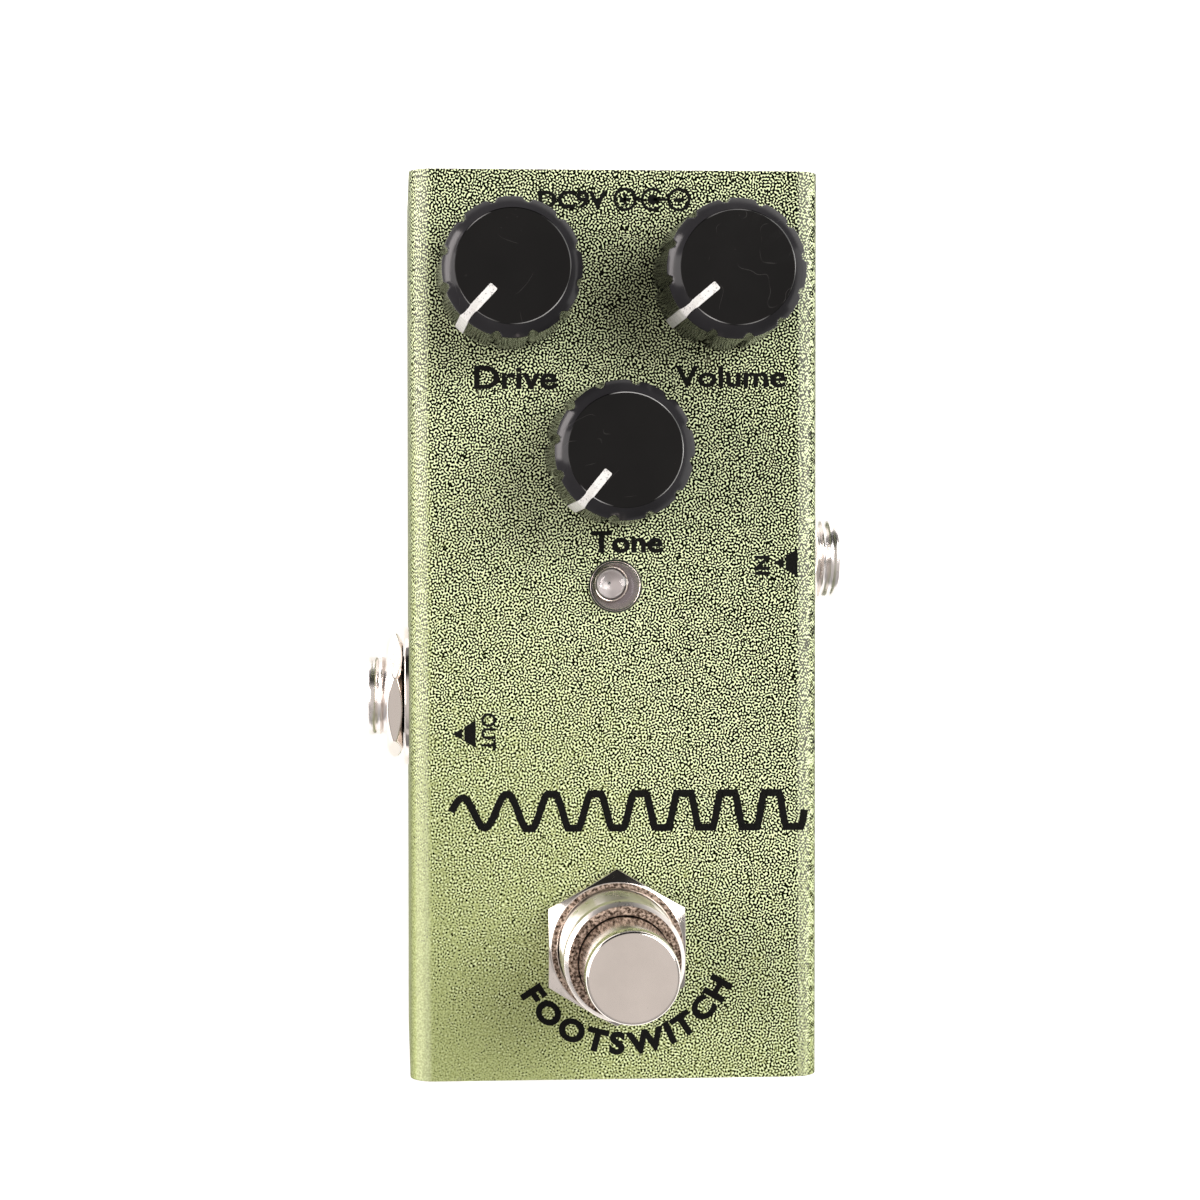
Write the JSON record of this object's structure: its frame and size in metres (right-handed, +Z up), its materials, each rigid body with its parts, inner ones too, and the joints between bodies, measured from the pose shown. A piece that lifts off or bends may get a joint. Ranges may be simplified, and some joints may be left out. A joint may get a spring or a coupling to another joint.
{
  "type": "guitar effects pedal",
  "caption": "Compact stompbox in a folded green shell with rotary knobs, an indicator lamp, a footswitch, side plug sockets and a rear power socket.",
  "frame": {"origin": "on the floor, under the middle of the case, at the bottom of the rubber feet", "axes": "+Z up through the control panel, +Y towards the end with the power socket, +X towards the input socket's side"},
  "size_m": [0.0508, 0.093, 0.0515],
  "materials": {
    "green_paint": "olive green paint with fine metallic flake over folded sheet",
    "zinc_sheet": "zinc-plated steel sheet, satin",
    "knob_plastic": "glossy black moulding with white pointer",
    "nickel": "bright nickel plate",
    "black_plastic": "black moulding, semi-matt",
    "rubber": "black rubber, matt",
    "board": "green solder-masked glass-fibre board",
    "clear_lens": "clear moulded resin",
    "contact_brass": "bare brass",
    "spring_steel": "spring steel, satin",
    "film_red": "dipped red resin"
  },
  "bodies": {
    "case": {"top_cover": "green_paint", "base_tray": "zinc_sheet", "left_front_screw": "nickel", "left_front_foot": "rubber", "left_rear_screw": "nickel", "left_rear_foot": "rubber", "right_front_screw": "nickel", "right_front_foot": "rubber", "right_rear_screw": "nickel", "right_rear_foot": "rubber", "circuit_board": "board", "amplifier_chip": "black_plastic", "electrolytic_capacitor_1": "black_plastic", "electrolytic_capacitor_2": "black_plastic", "electrolytic_capacitor_3": "black_plastic", "film_capacitor_1": "film_red", "film_capacitor_2": "film_red", "switch_ribbon": "rubber", "drive_potentiometer": "zinc_sheet", "drive_pot_nut": "nickel", "volume_potentiometer": "zinc_sheet", "volume_pot_nut": "nickel", "tone_potentiometer": "zinc_sheet", "tone_pot_nut": "nickel", "lamp_lens": "clear_lens", "lamp_anode_lead": "nickel", "lamp_cathode_lead": "nickel", "footswitch_body": "nickel", "footswitch_spring": "spring_steel", "footswitch_base": "black_plastic", "footswitch_nut": "nickel", "footswitch_inner_nut": "nickel", "footswitch_washer": "spring_steel", "output_socket_housing": "black_plastic", "output_socket_bushing": "nickel", "output_socket_washer": "nickel", "output_socket_nut": "nickel", "output_tip_contact": "contact_brass", "input_socket_housing": "black_plastic", "input_socket_bushing": "nickel", "input_socket_nut": "nickel", "input_tip_contact": "contact_brass", "power_socket_housing": "black_plastic", "power_socket_pin": "nickel"},
    "drive_control": {"drive_knob": "knob_plastic", "drive_shaft": "contact_brass"},
    "volume_control": {"volume_knob": "knob_plastic", "volume_shaft": "contact_brass"},
    "tone_control": {"tone_knob": "knob_plastic", "tone_shaft": "contact_brass"},
    "footswitch_plunger": {"footswitch_button": "nickel"}
  },
  "joints": [
    {"name": "drive_turn", "type": "hinge", "parent": "case", "child": "drive_control", "pos_m": [-0.011, 0.0354, 0.0325], "axis": [0, 0, 1], "range_deg": [-280, 0]},
    {"name": "volume_turn", "type": "hinge", "parent": "case", "child": "volume_control", "pos_m": [0.011, 0.0354, 0.0325], "axis": [0, 0, 1], "range_deg": [-280, 0]},
    {"name": "tone_turn", "type": "hinge", "parent": "case", "child": "tone_control", "pos_m": [0, 0.0176, 0.0325], "axis": [0, 0, 1], "range_deg": [-280, 0]},
    {"name": "footswitch_press", "type": "slide", "parent": "case", "child": "footswitch_plunger", "axis": [0, 0, 1], "range_m": [-0.0033, 0], "stiffness_N_per_m": 1200, "deforming": ["footswitch_spring"]}
  ]
}
